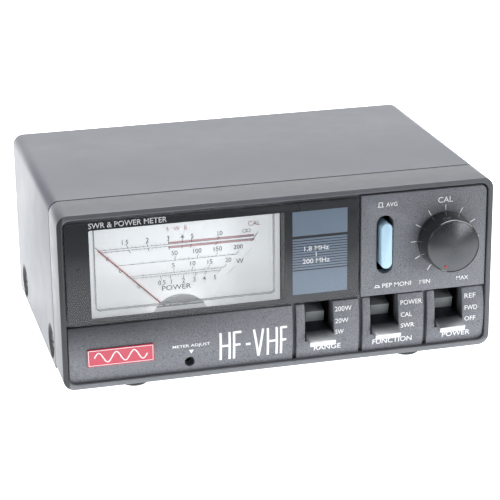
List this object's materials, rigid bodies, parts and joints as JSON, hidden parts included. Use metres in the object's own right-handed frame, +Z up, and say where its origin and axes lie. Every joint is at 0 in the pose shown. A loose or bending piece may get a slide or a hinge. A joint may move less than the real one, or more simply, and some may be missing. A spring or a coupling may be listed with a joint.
{
  "type": "swr meter",
  "caption": "Bench SWR and power meter: low steel case, wide cross of scales under a clear window, lever switches, push button, calibration knob and coaxial sockets behind.",
  "frame": {"origin": "centre of the whole object's footprint, at the level the feet stand on", "axes": "+X to the right seen from the front, +Y from the front panel to the sockets behind, +Z up"},
  "size_m": [0.155, 0.127, 0.068],
  "materials": {
    "case_paint": "satin dark grey enamel with a fine orange peel",
    "bezel_plastic": "fine spark-eroded texture, dark grey",
    "panel_plastic": "speckled satin grey paint on moulded plastic",
    "lens_acrylic": "polished acrylic, printed black on its back",
    "badge": "red enamel with a white border",
    "plated_steel": "zinc plated sheet",
    "rubber_black": "matt",
    "screw_black": "black oxide",
    "screw_steel": "nickel plated",
    "clear_styrene": "clear polystyrene",
    "black_plastic": "matt moulded",
    "dial_white": "matt white printed sheet",
    "grey_plastic": "satin",
    "soft_iron": "machined",
    "magnet": "ground",
    "brass": "turned",
    "copper_winding": "enamelled wire",
    "pointer_red": "red lacquer on aluminium",
    "bright_steel": "ground steel",
    "lamp_glass": "clear bulb",
    "aluminium_part": "turned",
    "knob_black": "polished skirt, spun face",
    "button_blue": "light blue",
    "white_plastic": "natural",
    "lever_chrome": "chrome plated plastic",
    "circuit_board": "green solder mask",
    "capacitor_sleeve": "shrunk sleeve",
    "tinned_box": "cast box, as cast",
    "ferrite": "pressed",
    "nickel_plate": "nickel plated brass",
    "insulator_white": "PTFE",
    "lead_red": "PVC"
  },
  "bodies": {
    "case": {"front_bezel": "bezel_plastic", "front_panel": "panel_plastic", "window_lens": "lens_acrylic", "badge_plate": "badge", "top_cover": "case_paint", "chassis": "plated_steel", "rubber_feet": "rubber_black", "foot_screws": "screw_steel", "cover_screws": "screw_black", "meter_case": "clear_styrene", "meter_base": "black_plastic", "dial_plate": "dial_white", "hub_cover": "grey_plastic", "yoke_ring": "soft_iron", "core_magnet": "magnet", "front_bridge": "brass", "rear_bridge": "brass", "jewel_screws": "brass", "meter_terminals": "brass", "dial_lamp": "lamp_glass", "lamp_holder": "black_plastic", "cal_pot_body": "plated_steel", "cal_pot_nut": "screw_steel", "push_spring": "bright_steel", "push_switch_body": "black_plastic", "range_switch_body": "black_plastic", "function_switch_body": "black_plastic", "power_switch_body": "black_plastic", "switch_pins": "bright_steel", "detent_springs": "brass", "control_board": "circuit_board", "board_screws": "screw_steel", "capacitors": "capacitor_sleeve", "coupler_box": "tinned_box", "coupler_lid": "tinned_box", "coupler_board": "circuit_board", "coupler_line": "brass", "pickup_toroid": "ferrite", "coax_sockets": "nickel_plate", "socket_insulators": "insulator_white", "socket_contacts": "brass", "socket_screws": "screw_steel", "dc_jack": "black_plastic", "inner_leads": "lead_red"},
    "cal_knob": {"cal_knob": "knob_black", "cal_pot_shaft": "aluminium_part"},
    "avg_button": {"avg_button": "button_blue", "push_plunger": "white_plastic"},
    "range_lever": {"range_lever": "grey_plastic", "range_lever_cap": "lever_chrome"},
    "function_lever": {"function_lever": "grey_plastic", "function_lever_cap": "lever_chrome"},
    "power_lever": {"power_lever": "grey_plastic", "power_lever_cap": "lever_chrome"},
    "pointer": {"pointer": "pointer_red", "moving_coil": "copper_winding", "pivot_pins": "bright_steel"},
    "zero_screw": {"zero_screw": "black_plastic"},
    "zero_arm": {"zero_arm": "aluminium_part", "hairspring": "brass"}
  },
  "joints": [
    {"name": "cal_turn", "type": "hinge", "parent": "case", "child": "cal_knob", "pos_m": [0.06, -0.0545, 0.0466], "axis": [0, 1, 0], "range_deg": [0, 300]},
    {"name": "avg_push", "type": "slide", "parent": "case", "child": "avg_button", "axis": [0, 1, 0], "range_m": [0, 0.003], "stiffness_N_per_m": 300, "springref_m": -0.002, "deforming": ["push_spring"]},
    {"name": "range_tilt", "type": "hinge", "parent": "case", "child": "range_lever", "pos_m": [0.0136, -0.0375, 0.0202], "axis": [-1, 0, 0], "range_deg": [0, 31]},
    {"name": "function_tilt", "type": "hinge", "parent": "case", "child": "function_lever", "pos_m": [0.03765, -0.0375, 0.0202], "axis": [-1, 0, 0], "range_deg": [0, 31]},
    {"name": "power_tilt", "type": "hinge", "parent": "case", "child": "power_lever", "pos_m": [0.0617, -0.0375, 0.0202], "axis": [-1, 0, 0], "range_deg": [0, 31]},
    {"name": "pointer_swing", "type": "hinge", "parent": "case", "child": "pointer", "pos_m": [-0.033, -0.03715, 0.0207], "axis": [0, 1, 0], "range_deg": [0, 90], "stiffness_Nm_per_rad": 0.0002, "springref_deg": -8.59},
    {"name": "zero_turn", "type": "hinge", "parent": "case", "child": "zero_screw", "pos_m": [-0.033, -0.0495, 0.0106], "axis": [0, 1, 0], "range_deg": [-50, 50]},
    {"name": "zero_swing", "type": "hinge", "parent": "case", "child": "zero_arm", "pos_m": [-0.033, -0.0397, 0.0207], "axis": [0, 1, 0], "range_deg": [-4, 4]}
  ],
  "couplings": [
    {"joint": "zero_swing", "follows": "zero_turn", "ratio": 0.074}
  ]
}
